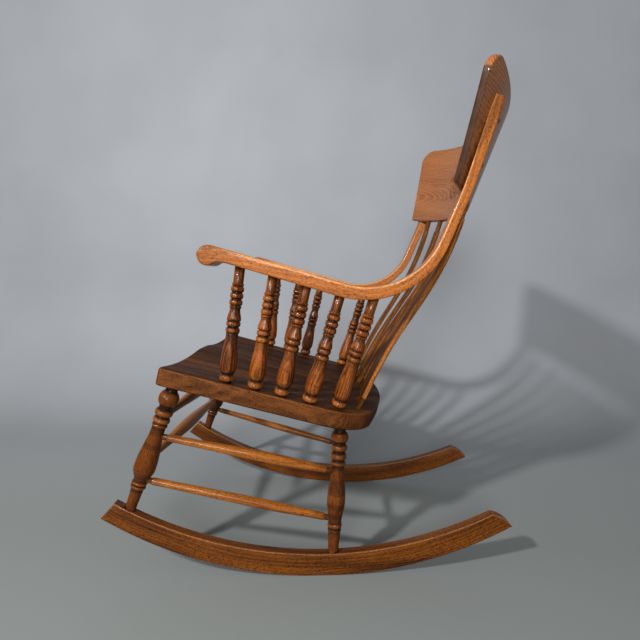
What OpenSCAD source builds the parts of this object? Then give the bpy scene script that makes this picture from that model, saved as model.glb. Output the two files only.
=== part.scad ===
/* [Seat] */
// Height of the seat's front top edge above the floor
seat_front_h = 442; // [410:1:470]
// How far the seat's front top edge lies ahead of the middle of the chair
seat_front_y = 290; // [278:1:300]
// Fall of the seat towards the back, in degrees
seat_slope = 14; // [11:0.5:16]
// Thickness of the seat slab
seat_t = 35; // [30:1:42]
// Width across the front corners
seat_front_w = 548; // [530:1:570]
// Width across the back corners
seat_rear_w = 518; // [505:1:540]
// Depth along the slope, up to the back corners
seat_d = 439; // [425:1:455]
// Radius of the front corners
seat_front_r = 10; // [6:1:20]
// Radius of the back corners
seat_rear_r = 108; // [95:1:120]
// How far the back edge bows out behind its corners
seat_bow = 23; // [12:1:30]
// Depth of the two hollows for the thighs at the seat's front edge
scoop_depth = 9; // [5:0.5:11]
// Distance of each thigh hollow from the middle line of the seat
scoop_x = 146; // [136:1:150]
// Width of each thigh hollow at the front edge
scoop_w = 225; // [190:1:230]
// Length over which the thigh hollows fade out towards the back
scoop_l = 330; // [280:5:380]
// Depth of the round hollow in the middle of the seat
dish_depth = 7; // [3:0.5:9]
// Diameter of the round hollow
dish_d = 370; // [330:5:385]
// Distance of the round hollow's middle from the seat's front edge
dish_at = 236; // [220:1:245]

/* [Rockers] */
// Radius of the edge that the chair rocks on
rocker_r = 830; // [780:5:900]
// Radius of the rocker's top edge
rocker_top_r = 822; // [790:5:860]
// Depth of the rocker at its lowest point
rocker_depth = 47; // [42:1:55]
// Thickness of the rocker board
rocker_t = 22; // [20:1:26]
// Distance between the two rocker boards' middles under the seat
rocker_gap = 445; // [435:1:455]
// How much each rocker turns in towards the back, in degrees
rocker_toe = 5.2; // [4:0.1:6]
// Where the chair touches the floor, behind the middle of the chair
rocker_low_y = 26; // [22:1:32]
// Length of the flat worn on the rocker where it stands on the floor
rocker_flat = 72; // [60:1:90]
// Front end of the rocker, ahead of the middle
rocker_front_y = 420; // [410:1:430]
// Back end of the rocker, behind the middle
rocker_rear_y = 420; // [410:1:430]
// Radius of the rounded nose at the back end
rocker_nose_r = 65; // [50:1:80]
// Direction in which the rounded nose points up from the rocker's end, in degrees
rocker_nose_turn = 35; // [30:1:40]
// Slope of the sawn front end, in degrees
rocker_front_cut = 48; // [44:1:60]

/* [Legs] */
// Where the front legs meet the rockers, ahead of the middle
front_foot_y = 364; // [350:1:375]
// Where the rear legs meet the rockers, behind the middle
rear_foot_y = 49; // [38:1:60]
// How far the front legs' tops are in from the middle line of the seat
front_head_x = 238; // [228:1:245]
// How far the front legs' tops are behind the seat's front edge
front_head_d = 27; // [24:1:40]
// How far the rear legs' tops are out from the middle line of the seat
rear_head_x = 200; // [190:1:208]
// How far the rear legs' tops are behind the seat's front edge
rear_head_d = 373; // [355:1:385]
// Diameter of the ball at the top of the front leg
front_ball_d = 41; // [38:0.5:43]
// Largest diameter of the front leg's long swell
front_swell_d = 44; // [38:0.5:50]
// Largest diameter of the rear leg's long swell
rear_swell_d = 38; // [34:0.5:44]
// Diameter of a leg where it stands on the rocker
foot_d = 22; // [20:0.5:24]
// Diameter of a leg where it enters the seat
head_d = 24; // [20:0.5:28]
// Diameter of the tenon in the rocker
foot_tenon_d = 13; // [11:0.5:15]
// Length of the tenon in the rocker
foot_tenon_l = 24; // [18:1:28]
// Length of the tenon in the seat
head_tenon_l = 22; // [18:1:23]
// Diameter of the necks between the collars and beads of a leg
leg_neck_d = 26; // [24.5:0.5:27]
// Diameter of the low collars of a leg
leg_collar_d = 31; // [29:0.5:33]
// Diameter of the widest bead of a leg
leg_bead_d = 36.5; // [34:0.5:38]
// Length of the front leg's turned pattern, from its low collars to the seat
front_turning_l = 227; // [222:1:232]
// Length of the rear leg's turned pattern, from its low collars to the seat
rear_turning_l = 231; // [224:1:238]

/* [Stretchers] */
// Height of the upper side stretcher at the front leg
side_upper_front_h = 297; // [290:1:304]
// Height of the upper side stretcher at the rear leg
side_upper_rear_h = 214; // [205:1:226]
// Height of the lower side stretcher at the front leg
side_lower_front_h = 208; // [202:1:214]
// Height of the lower side stretcher at the rear leg
side_lower_rear_h = 115; // [105:1:125]
// Height of the upper front stretcher
front_upper_h = 334; // [328:1:340]
// Height of the lower front stretcher
front_lower_h = 246; // [240:1:252]
// Height of the rear stretcher
rear_stretcher_h = 165; // [155:1:175]
// Thickest part of the upper side stretcher
side_upper_d = 22; // [18:0.5:24]
// Thickest part of the lower side stretcher
side_lower_d = 20; // [16:0.5:22]
// Thickest part of the front stretchers
front_stretcher_d = 30; // [24:0.5:34]
// Thickest part of the rear stretcher
rear_stretcher_d = 20; // [16:0.5:24]
// Length of the straight necks at both ends of a stretcher
stretcher_neck_l = 22; // [18:1:26]
// Diameter of the step where a stretcher's neck ends
stretcher_step_d = 15; // [14:0.5:16]
// Diameter of a stretcher where it enters a leg
stretcher_end_d = 12; // [10:0.5:13]
// How near a stretcher's tenon comes to the middle of the leg
tenon_in = 4; // [3:0.5:5]
// Place of the side stretchers' thickest part, as a share of their length from the front
side_swell_at = 0.64; // [0.5:0.01:0.7]

/* [Arms] */
// Distance between the outer faces of the two arms
arm_span = 540; // [530:1:550]
// Width of the arm at its front scroll
arm_front_w = 57; // [48:1:62]
// Width of the arm at the bend
arm_bend_w = 43; // [38:1:48]
// Width of the post at its top
post_top_w = 27; // [24:1:34]
// Front end of the arm, ahead of the middle
arm_front_y = 210; // [200:1:220]
// Radius of the scroll at the arm's front end
scroll_r = 20; // [17:0.5:23]
// Height of the arm's top face above the middle of the chair
arm_h = 623.5; // [618:0.5:630]
// Fall of the arm's top face towards the back, in degrees
arm_slope = 16.1; // [15:0.1:17]
// Distance of the post's front face behind the middle, where its lean changes
post_knee_y = 282.5; // [280:0.5:285]
// Inside radius of the bend
bend_inner_r = 145; // [125:1:160]
// Outside radius of the bend
bend_outer_r = 166; // [158:1:176]
// Thickness of the arm
arm_t = 25; // [23:0.5:27]
// Thickness of the post just above the bend
post_t = 17.5; // [16.5:0.5:20]
// Thickness of the post at the crest
post_top_t = 19.5; // [18:0.5:22]
// Lean of the post just above the bend, in degrees
post_lean = 22.3; // [21:0.1:24]
// Lean of the post's upper half, in degrees
post_upper_lean = 17; // [16:0.1:18.5]
// Height at which the post's lean changes
post_knee_h = 772; // [766:1:778]
// Height of the top of the post
post_top_h = 942; // [930:1:950]
// Height of the rounding on the back of the post's top
post_top_bevel = 19; // [8:1:24]
// Twist that lays the post flat on the bent crest, in degrees
post_twist = 24; // [20:0.5:27]

/* [Arm spindles] */
// Where the first spindle meets the arm, ahead of the middle
spindle_first_y = 132; // [128:1:138]
// Distance between the spindles along the arm
spindle_pitch = 64.5; // [62:0.5:66]
// Diameter of a spindle where it enters the arm
spindle_head_d = 20; // [17:0.5:21]
// Diameter of a spindle where it enters the seat
spindle_foot_d = 19; // [16:0.5:21]
// Diameter of the three beads
spindle_bead_d = 26; // [23:0.5:28]
// Diameter of the two rings under the bell
spindle_ring_d = 28; // [25:0.5:30]
// Diameter of the necks between a spindle's beads
spindle_neck_d = 20; // [19:0.5:21]
// Diameter under the rings, where the club begins
spindle_waist_d = 24; // [23:0.5:25]
// Length of a spindle's upper turned pattern, from the arm to the club
spindle_turning_l = 130; // [126:1:134]
// Length of the bulb with its necks at a spindle's bottom
spindle_bulb_l = 18; // [16:0.5:20]
// Largest diameter of the club
spindle_club_d = 33; // [29:0.5:34]
// Diameter of the bulb at the bottom
spindle_bulb_d = 31; // [28:0.5:33]
// Length of the tenons at both ends of a spindle
spindle_tenon_l = 15; // [12:1:18]

/* [Back slats] */
// Distance between the slats along the crest
slat_pitch_top = 64; // [60:0.5:66]
// Distance between the slats along the seat
slat_pitch_foot = 64; // [60:0.5:66]
// Width of a slat's flat blade
slat_w = 44; // [38:0.5:48]
// Thickness of a slat's blade
slat_t = 8.5; // [7:0.5:10]
// How far the slat bows back at its middle
slat_bow = 10; // [6:0.5:12]
// How far the slat swings forward below its middle and back above it
slat_swing = 8; // [5:0.5:9]
// Diameter of the round necks of a slat
slat_neck_d = 12; // [10:0.5:13]
// Length of neck that shows above the seat
slat_foot_neck = 28; // [22:1:34]
// Length of neck that shows below the crest
slat_head_neck = 30; // [24:1:36]
// Distance of the middle slat from the seat's back edge
slat_edge_d = 51; // [46:1:54]
// How far forward the outermost slats stand of the middle one
slat_foot_bow = 10; // [4:1:14]
// Length of the tenons at both ends of a slat
slat_tenon_l = 18; // [14:1:20]
// Diameter of the tenon in the crest
slat_tenon_d = 8; // [6:0.5:9]

/* [Crest rail] */
// Height of the crest's lower front corners
crest_h = 788; // [780:1:794]
// How far the crest's lower front corners lie behind the middle
crest_y = 265; // [263:0.5:267]
// Lean of the crest, in degrees
crest_lean = 20.8; // [20:0.1:21.5]
// Width across the lower corners
crest_w = 524; // [514:1:530]
// Width across the top
crest_top_w = 636; // [620:1:645]
// Height of the crest along its lean
crest_d = 214; // [206:1:220]
// Thickness of the crest
crest_t = 14.5; // [14:0.5:17]
// How far the middle of the crest is bent back behind its lower corners
crest_bend = 71; // [68:0.5:73]
// Radius of the upper corners
crest_corner_r = 33; // [24:1:44]

/* [Crest screws] */
// Height of the lower screw above the post's knee
screw_low = 46; // [38:1:58]
// Height of the upper screw above the post's knee
screw_high = 123; // [105:1:130]
// Depth of the flat bored under each screw head
screw_flat = 1; // [0.8:0.1:2]
// Length of the screw shank
screw_l = 27; // [24:1:28]
// Diameter of the screw head
screw_head_d = 10; // [8:0.5:11]
// Diameter of the screw shank
screw_d = 4.5; // [4:0.5:5.5]

/* [Fits] */
// Clearance of glued joints and scribed faces
glue_gap = 0.1; // [0.05:0.01:0.15]
// Spare depth at the bottom of blind holes
hole_spare = 1; // [0.5:0.5:2]

/* [Hidden] */
side_count = 5;
slat_count = 7;
slat_middle = (slat_count + 1) / 2;

oak = [0.56, 0.27, 0.08];
dark_oak = [0.33, 0.16, 0.07];
round_fn = 72;
curve_fn = 720;
far = 2000;

// Points of round turnings, as [radius, distance along the piece]
function bead(z, w, r_in, r_out, n = 8) =
  [for (i = [0:n]) let (a = 180 * i / n) [r_in + (r_out - r_in) * sin(a), z - w / 2 * cos(a)]];
function swell(z0, r0, z1, r1, n = 8) =
  [for (i = [0:n]) let (t = i / n) [r0 + (r1 - r0) * (1 - cos(180 * t)) / 2, z0 + (z1 - z0) * t]];
// The same place on the other side of the chair
function mirrored(p) = [-p[0], p[1], p[2]];
function unit(v) = v / norm(v);

// Point on the seat's sloping frame: across, back along the slope, up from the top face
function seat_at(x, d, z = 0) = [
  x,
  -seat_front_y + d * cos(seat_slope) + z * sin(seat_slope),
  seat_front_h - d * sin(seat_slope) + z * cos(seat_slope)
];
seat_front_cx = seat_front_w / 2 - seat_front_r;
seat_rear_cx = seat_rear_w / 2 - seat_rear_r;
seat_rear_cd = seat_d - seat_rear_r;
seat_side_turn = atan2(seat_rear_cd - seat_front_r, seat_rear_cx - seat_front_cx)
  - acos((seat_front_r - seat_rear_r)
    / norm([seat_rear_cx - seat_front_cx, seat_rear_cd - seat_front_r]));
seat_side_n = [cos(seat_side_turn), sin(seat_side_turn)];
// The bowed back edge is an arc that runs smoothly into both back corners
bow_drop = seat_bow + seat_rear_r;
bow_cd = (pow(seat_rear_cx, 2) - pow(bow_drop, 2) + pow(seat_rear_r, 2)) / (-2 * seat_bow)
  + seat_rear_cd;
bow_r = seat_d + seat_bow - bow_cd;
bow_turn = atan2(seat_rear_cd - bow_cd, seat_rear_cx);
// Half width of the seat at a distance behind its front edge
function seat_half(d) =
  let (side_end = seat_rear_cd + seat_rear_r * seat_side_n[1])
  d < side_end
  ? seat_front_cx + (seat_front_r - (d - seat_front_r) * seat_side_n[1]) / seat_side_n[0]
  : seat_rear_cx + sqrt(pow(seat_rear_r, 2) - pow(d - seat_rear_cd, 2));

// Middle of the rocker board at a distance behind the middle of the chair
function rocker_x(y) = rocker_gap / 2 - y * tan(rocker_toe);
rocker_worn = rocker_r - sqrt(pow(rocker_r, 2) - pow(rocker_flat / 2, 2));
rocker_top_z = rocker_depth + rocker_top_r - rocker_worn;
function rocker_top(y) = rocker_top_z
  - sqrt(pow(rocker_top_r, 2) - pow((y - rocker_low_y) / cos(rocker_toe), 2));

// Feet on the rockers and heads on the underside of the seat
front_foot = [rocker_x(-front_foot_y), -front_foot_y, rocker_top(-front_foot_y)];
rear_foot = [rocker_x(rear_foot_y), rear_foot_y, rocker_top(rear_foot_y)];
front_head = seat_at(front_head_x, front_head_d, -seat_t);
rear_head = seat_at(rear_head_x, rear_head_d, -seat_t);
// Point on a leg's middle line at a height above the floor
function leg_at(foot, head, h) = foot + (head - foot) * (h - foot[2]) / (head[2] - foot[2]);
function front_at(h) = leg_at(front_foot, front_head, h);
function rear_at(h) = leg_at(rear_foot, rear_head, h);

// Arm and post: lines of the top or front face and of the bottom or back face
arm_out = arm_span / 2;
arm_dir = [cos(arm_slope), -sin(arm_slope)];
post_dir = [sin(post_lean), cos(post_lean)];
upper_dir = [sin(post_upper_lean), cos(post_upper_lean)];
function cross2(a, b) = a[0] * b[1] - a[1] * b[0];
// Meeting point of two lines, each given by a point and a direction
function meet(p, u, q, v) = p + u * cross2(q - p, v) / cross2(u, v);
function left_of(u) = [-u[1], u[0]];
knee_in = [post_knee_y, post_knee_h];
bend_in = meet([0, arm_h], arm_dir, knee_in, post_dir);
bend_y = bend_in[0];
arm_under = bend_in - left_of(arm_dir) * arm_t;
post_back = bend_in - left_of(post_dir) * post_t;
bend_out = meet(arm_under, arm_dir, post_back, post_dir);
knee_out = meet(bend_out, post_dir, [0, post_knee_h], [1, 0]);
top_in = meet(knee_in, upper_dir, [0, post_top_h], [1, 0]);
top_out = top_in + [post_top_t / cos(post_upper_lean), 0];
scroll_c = [
  -arm_front_y + scroll_r,
  arm_h + (arm_front_y - scroll_r) * tan(arm_slope) - scroll_r / cos(arm_slope)
];
// Centre of the arc that rounds the corner b between a and c
function corner_centre(a, b, c, r) =
  let (
    u = unit(a - b),
    v = unit(c - b)
  )
  b + unit(u + v) * r / sin(acos(u * v) / 2);
// Points of an arc that rounds the corner b between a and c
function rounded(a, b, c, r, n = 12) =
  let (
    u = unit(a - b),
    v = unit(c - b),
    half = acos(u * v) / 2,
    centre = corner_centre(a, b, c, r),
    from = b + u * r / tan(half) - centre,
    to = b + v * r / tan(half) - centre,
    a0 = atan2(from[1], from[0]),
    turn = (atan2(to[1], to[0]) - a0 + 540) % 360 - 180
  )
  [for (i = [0:n]) let (w = a0 + turn * i / n) centre + r * [cos(w), sin(w)]];
under_start = bend_out - arm_dir * bend_outer_r * tan((90 + arm_slope - post_lean) / 2);
under_c = under_start + left_of(arm_dir) * bend_outer_r;
// Height of the arm's underside at a distance behind the middle
function arm_under_z(y) = y < under_start[0]
  ? under_start[1] - (y - under_start[0]) * tan(arm_slope)
  : under_c[1] - sqrt(pow(bend_outer_r, 2) - pow(y - under_c[0], 2));
// Heights where the two arcs of the bend run out into the straight post
bend_share = tan((90 + arm_slope - post_lean) / 2);
bend_in_end = bend_in + post_dir * bend_inner_r * bend_share;
bend_out_end = bend_out + post_dir * bend_outer_r * bend_share;
post_start_h = max(bend_in_end[1], bend_out_end[1]) + 1;
// Height of the arm's top face where its taper ends and the post's begins
bend_in_c = bend_in_end + left_of(post_dir) * bend_inner_r;
bend_top_z = bend_in_c[1] - sqrt(pow(bend_inner_r, 2) - pow(bend_y - bend_in_c[0], 2));
// A line that eases from the slope at a to the slope of a line from a to b, for a height z
knee_ease = 25;
function eased(z, a, b) =
  let (
    m0 = tan(post_lean),
    m1 = (b[0] - a[0]) / (b[1] - a[1]),
    h = z - a[1]
  )
  h < -knee_ease ? a[0] + m0 * h
  : h > knee_ease ? a[0] + m1 * h
  : a[0] + m0 * h - (m0 - m1) * pow(h + knee_ease, 2) / (4 * knee_ease);
function post_front(z) = eased(z, knee_in, top_in);
function post_back(z) = eased(z, knee_out, top_out);
function post_w(z) = arm_bend_w
  + (post_top_w - arm_bend_w) * (z - bend_top_z) / (post_top_h - bend_top_z);
// Share of the twist that the post has reached at a height
function twist_share(z) =
  let (s = min(1, max(0, (z - post_start_h) / (post_top_h - post_start_h))))
  s * s * (3 - 2 * s);
function post_slip(z) = tan(post_twist) * twist_share(z);
// Level section of the post: its inner edge slips back as the post twists
function post_section(z, depth = 1) =
  let (
    w = post_w(z),
    f = post_front(z),
    b = f + (post_back(z) - f) * depth,
    slip = w * post_slip(z)
  )
  [
    [arm_out, f, z],
    [arm_out, b, z],
    [arm_out - w, b + slip, z],
    [arm_out - w, f + slip, z]
  ];
// Width of the arm at a distance behind the middle, and its middle line
function arm_w(y) = arm_front_w
  + (arm_bend_w - arm_front_w) * (y + arm_front_y) / (bend_y + arm_front_y);
function arm_mid(y) = arm_out - arm_w(y) / 2;

// Arm spindles: where each enters the seat, behind its front edge and in from its side edge
spindle_seat_d = [133, 190, 244, 300, 359];
spindle_edge_in = [17, 17, 17, 17, 33];
function spindle_head(i) = let (y = spindle_pitch * (i - 1) - spindle_first_y)
  [arm_mid(y), y, arm_under_z(y)];
function spindle_foot(i) = let (d = spindle_seat_d[i - 1])
  seat_at(seat_half(d) - spindle_edge_in[i - 1], d);

// Crest: a board bent to an arc, leaning back with straight lines up its faces
crest_half = crest_w / 2;
crest_r = (pow(crest_half, 2) + pow(crest_bend, 2)) / (2 * crest_bend);
crest_cy = crest_bend - crest_r;
// Point inside the crest: across, in from the front face, up along the lean
function crest_at(x, t, w) =
  let (y = crest_cy + sqrt(pow(crest_r + t, 2) - x * x))
  [
    x,
    crest_y + y * cos(crest_lean) + w * sin(crest_lean),
    crest_h - y * sin(crest_lean) + w * cos(crest_lean)
  ];

// Back slats: ends on the seat and on the crest's lower edge
function slat_foot(i) =
  let (
    k = (i - slat_middle) / (slat_middle - 1),
    x = (i - slat_middle) * slat_pitch_foot
  )
  seat_at(x, seat_d + seat_bow - slat_edge_d - slat_foot_bow * k * k);
function slat_head(i) = crest_at((i - slat_middle) * slat_pitch_top, crest_t / 2, 0);

// Stands a piece modelled along +Z on the line from p to q
module between(p, q) {
  v = q - p;
  translate(p) rotate([0, acos(v[2] / norm(v)), atan2(v[1], v[0])]) children();
}
// A turned piece from its outline points
module turned(points) {
  rotate_extrude($fn = round_fn)
    polygon(concat([[0, points[0][1]]], points, [[0, points[len(points) - 1][1]]]));
}
// A round hole that starts at p and runs towards q
module hole(p, q, r, from, to) {
  between(p, q) translate([0, 0, from]) cylinder(h = to - from, r = r, $fn = round_fn);
}
// A solid through level sections that all have the same number of corners
module loft(sections) {
  n = len(sections[0]);
  m = len(sections);
  polyhedron(
    points = [for (s = sections) each s],
    faces = concat(
      [[for (k = [0:n - 1]) k]],
      [for (j = [0:m - 2]) for (k = [0:n - 1]) let (a = j * n + k, b = j * n + (k + 1) % n) each
        [[a, a + n, b], [b, a + n, b + n]]],
      [[for (k = [n - 1:-1:0]) (m - 1) * n + k]]
    )
  );
}
// Places a side outline, drawn as back and up, as a board across the chair
module board(w) {
  rotate([90, 0, 90]) linear_extrude(w, center = true) children();
}

module in_seat_frame() {
  translate(seat_at(0, 0)) rotate([-seat_slope, 0, 0]) children();
}
module seat_outline() {
  side = [
    [seat_front_cx, 0],
    [seat_front_cx, seat_front_r] + seat_front_r * seat_side_n,
    [seat_rear_cx, seat_rear_cd] + seat_rear_r * seat_side_n,
    [seat_rear_cx, seat_rear_cd] + seat_rear_r * [cos(bow_turn), sin(bow_turn)]
  ];
  polygon(concat(
    side,
    [for (i = [len(side) - 1:-1:0]) [-side[i][0], side[i][1]]]
  ));
  for (s = [-1, 1]) {
    translate([s * seat_front_cx, seat_front_r]) circle(seat_front_r, $fn = round_fn);
    translate([s * seat_rear_cx, seat_rear_cd]) circle(seat_rear_r, $fn = round_fn * 2);
  }
  intersection() {
    translate([0, bow_cd]) circle(bow_r, $fn = curve_fn);
    polygon([
      [-seat_rear_cx, seat_rear_cd],
      [seat_rear_cx, seat_rear_cd],
      [seat_rear_cx, seat_rear_cd] + 2 * seat_rear_r * [cos(bow_turn), sin(bow_turn)],
      [-seat_rear_cx, seat_rear_cd] + 2 * seat_rear_r * [-cos(bow_turn), sin(bow_turn)]
    ]);
  }
}
// Two long hollows for the thighs, which rise towards the back, and a round one behind them
module seat_hollows() {
  scoop_r = (pow(scoop_w / 2, 2) + pow(scoop_depth, 2)) / (2 * scoop_depth);
  dish_r = (pow(dish_d / 2, 2) + pow(dish_depth, 2)) / (2 * dish_depth);
  for (s = [-1, 1]) translate([s * scoop_x, 0, scoop_r - scoop_depth])
    rotate([atan(scoop_depth / scoop_l), 0, 0]) translate([0, scoop_l / 2, 0])
      rotate([90, 0, 0]) cylinder(h = 2 * scoop_l, r = scoop_r, center = true, $fn = curve_fn);
  translate([0, dish_at, dish_r - dish_depth]) sphere(dish_r, $fn = curve_fn);
}
module seat() {
  color(dark_oak) difference() {
    in_seat_frame() difference() {
      translate([0, 0, -seat_t]) linear_extrude(seat_t) seat_outline();
      seat_hollows();
    }
    for (s = [0, 1]) mirror([s, 0, 0]) {
      hole(front_head, front_foot, head_d / 2 + glue_gap, -head_tenon_l - hole_spare, seat_t);
      hole(rear_head, rear_foot, head_d / 2 + glue_gap, -head_tenon_l - hole_spare, seat_t);
      for (i = [1:side_count])
        hole(spindle_foot(i), spindle_head(i), spindle_foot_d / 2 + glue_gap,
          -spindle_tenon_l - hole_spare, seat_t);
    }
    for (i = [1:slat_count]) slat_frame(i)
      translate([0, 0, -slat_tenon_l - hole_spare])
        cylinder(h = seat_t * 2, d = slat_neck_d + 2 * glue_gap, $fn = round_fn);
  }
}

// Side outline of the rocker, drawn in its own upright plane
module rocker_outline() {
  low = rocker_low_y / cos(rocker_toe);
  front = rocker_front_y / cos(rocker_toe);
  rear = rocker_rear_y / cos(rocker_toe);
  tip = rocker_r - sqrt(pow(rocker_r, 2) - pow(rear - low, 2));
  shoulder = rear - rocker_depth;
  nose_c = [rear, tip] + rocker_nose_r * [-cos(rocker_nose_turn), -sin(rocker_nose_turn)];
  front_tip = rocker_r - sqrt(pow(rocker_r, 2) - pow(front + low, 2));
  translate([0, -rocker_worn]) difference() {
    intersection() {
      translate([low, rocker_r]) circle(rocker_r, $fn = curve_fn);
      translate([-far, rocker_worn]) square([2 * far, far]);
      union() {
        polygon([
          [-front, front_tip],
          [-front, front_tip] + rocker_depth * [cos(rocker_front_cut), sin(rocker_front_cut)],
          [shoulder, front_tip + rocker_depth],
          [shoulder, -rocker_depth],
          [-front, -rocker_depth]
        ]);
        translate(nose_c) circle(rocker_nose_r, $fn = round_fn * 2);
      }
    }
    translate([low, rocker_depth + rocker_top_r]) circle(rocker_top_r, $fn = curve_fn);
  }
}
module rocker_frame() {
  translate([rocker_gap / 2, 0, 0]) rotate([0, 0, rocker_toe]) children();
}
module rocker() {
  color(oak) difference() {
    rocker_frame() board(rocker_t) rocker_outline();
    hole(front_foot, front_head, foot_tenon_d / 2 + glue_gap, -foot_tenon_l - hole_spare, head_d);
    hole(rear_foot, rear_head, foot_tenon_d / 2 + glue_gap, -foot_tenon_l - hole_spare, head_d);
  }
}

// Keeps only what lies above the rocker's top edge
module scribed_to_rocker() {
  intersection() {
    children();
    rocker_frame() board(rocker_gap / 2)
      translate([rocker_low_y / cos(rocker_toe), rocker_top_z])
        circle(rocker_top_r - glue_gap, $fn = curve_fn);
  }
}
// Outline of the front leg: foot, double collar, long swell, collars and ball.
// Heights in the turned pattern are hundredths of its length, measured down from the seat.
function front_leg_points(l) =
  let (
    p = front_turning_l / 100,
    neck = leg_neck_d / 2,
    collar = leg_collar_d / 2,
    wide = leg_bead_d / 2,
    full = front_swell_d / 2
  )
  concat(
    [[foot_d / 2, -foot_d], [foot_d / 2, 0]],
    swell(8, foot_d / 2, l - 100 * p, neck * 0.96),
    bead(l - 97.8 * p, 3.1 * p, neck, collar, 6),
    bead(l - 94.3 * p, 3.1 * p, neck, collar, 6),
    swell(l - 92.5 * p, neck * 1.04, l - 80.6 * p, full),
    swell(l - 78.4 * p, full, l - 40.5 * p, neck * 1.04),
    bead(l - 38.8 * p, 2.6 * p, neck * 1.04, collar * 1.03, 6),
    bead(l - 33.9 * p, 5.3 * p, neck, wide * 0.95),
    bead(l - 26.9 * p, 6.6 * p, neck, wide),
    swell(l - 23.3 * p, neck, l - 22 * p, neck * 1.03, 2),
    [for (a = [-46:8:54]) front_ball_d / 2 * [cos(a), sin(a)] + [0, l - 13.7 * p]],
    [[head_d / 2, l - 5.7 * p], [head_d / 2, l + head_tenon_l]]
  );
// Outline of the rear leg: foot, collars, long swell, collar and three beads
function rear_leg_points(l) =
  let (
    p = rear_turning_l / 100,
    neck = leg_neck_d / 2,
    collar = leg_collar_d / 2,
    wide = leg_bead_d / 2,
    full = rear_swell_d / 2
  )
  concat(
    [[foot_d / 2, -foot_d], [foot_d / 2, 0]],
    swell(6, foot_d / 2, l - 100 * p, neck * 0.985),
    bead(l - 97.8 * p, 2.6 * p, neck * 0.985, collar * 0.9, 6),
    bead(l - 93.5 * p, 4.3 * p, neck * 0.985, collar * 0.97, 6),
    swell(l - 90.9 * p, neck * 1.04, l - 71.9 * p, full),
    swell(l - 69.3 * p, full, l - 40.3 * p, neck),
    bead(l - 37.2 * p, 3.9 * p, neck, collar * 0.99, 6),
    bead(l - 30.7 * p, 6.5 * p, neck * 0.96, wide * 0.89),
    bead(l - 22.9 * p, 6.5 * p, neck * 0.96, wide * 0.92),
    bead(l - 13.4 * p, 9.1 * p, neck * 0.96, wide),
    [[head_d / 2, l - 6.9 * p], [head_d / 2, l + head_tenon_l]]
  );
module leg_tenon(foot, head) {
  between(foot, head) translate([0, 0, -foot_tenon_l])
    cylinder(h = foot_tenon_l + foot_d, d = foot_tenon_d, $fn = round_fn);
}
// Blind hole in a leg for a stretcher that runs from p to q
module stretcher_hole(p, q) {
  hole(p, q, stretcher_end_d / 2 + glue_gap, tenon_in - hole_spare, head_d * 2);
}
module front_leg() {
  color(oak) difference() {
    union() {
      scribed_to_rocker() between(front_foot, front_head)
        turned(front_leg_points(norm(front_head - front_foot)));
      leg_tenon(front_foot, front_head);
    }
    stretcher_hole(front_at(side_upper_front_h), rear_at(side_upper_rear_h));
    stretcher_hole(front_at(side_lower_front_h), rear_at(side_lower_rear_h));
    stretcher_hole(front_at(front_upper_h), mirrored(front_at(front_upper_h)));
    stretcher_hole(front_at(front_lower_h), mirrored(front_at(front_lower_h)));
  }
}
module rear_leg() {
  color(oak) difference() {
    union() {
      scribed_to_rocker() between(rear_foot, rear_head)
        turned(rear_leg_points(norm(rear_head - rear_foot)));
      leg_tenon(rear_foot, rear_head);
    }
    stretcher_hole(rear_at(side_upper_rear_h), front_at(side_upper_front_h));
    stretcher_hole(rear_at(side_lower_rear_h), front_at(side_lower_front_h));
    stretcher_hole(rear_at(rear_stretcher_h), mirrored(rear_at(rear_stretcher_h)));
  }
}

// A stretcher between the middles of two legs, thickest at a share of its length
module stretcher(p, q, d, at = 0.5) {
  l = norm(q - p);
  r = stretcher_end_d / 2;
  step = stretcher_step_d / 2;
  neck = stretcher_neck_l;
  color(oak) between(p, q) turned(concat(
    [[r, tenon_in], [r, neck]],
    swell(neck, r, neck + 5, step, 4),
    swell(neck + 6, step, l * at, d / 2),
    swell(l * at + 1, d / 2, l - neck - 6, step),
    swell(l - neck - 5, step, l - neck, r, 4),
    [[r, l - neck], [r, l - tenon_in]]
  ));
}
module side_stretcher_upper() {
  stretcher(front_at(side_upper_front_h), rear_at(side_upper_rear_h), side_upper_d,
    side_swell_at);
}
module side_stretcher_lower() {
  stretcher(front_at(side_lower_front_h), rear_at(side_lower_rear_h), side_lower_d,
    side_swell_at);
}
module front_stretcher_upper() {
  stretcher(front_at(front_upper_h), mirrored(front_at(front_upper_h)), front_stretcher_d);
}
module front_stretcher_lower() {
  stretcher(front_at(front_lower_h), mirrored(front_at(front_lower_h)), front_stretcher_d);
}
module rear_stretcher() {
  stretcher(rear_at(rear_stretcher_h), mirrored(rear_at(rear_stretcher_h)), rear_stretcher_d);
}

// Side outline of the arm, up to where the straight post begins
module arm_outline() {
  top_start = scroll_c + scroll_r * left_of(arm_dir);
  polygon(concat(
    [scroll_c, top_start],
    rounded(top_start, bend_in, knee_in, bend_inner_r, 24),
    [[post_front(post_start_h), post_start_h], [post_back(post_start_h), post_start_h]],
    rounded(knee_out, bend_out, arm_under, bend_outer_r, 24),
    [meet(arm_under, arm_dir, scroll_c, left_of(arm_dir))]
  ));
  translate(scroll_c) circle(scroll_r, $fn = round_fn);
}
// What is cut from the inner side, so that the arm narrows back and the post up
module arm_taper_cut() {
  inner = arm_out - arm_bend_w;
  front_inner = arm_out - arm_front_w;
  post_inner = arm_out - post_top_w;
  linear_extrude(far) polygon([
    [0, -far],
    [front_inner, -far],
    [front_inner, -arm_front_y],
    [inner, bend_y],
    [inner, far],
    [0, far]
  ]);
  translate([0, bend_y + far, 0]) rotate([90, 0, 0]) linear_extrude(far) polygon([
    [0, bend_top_z],
    [inner, bend_top_z],
    [post_inner, post_top_h],
    [post_inner, far],
    [0, far]
  ]);
}
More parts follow.
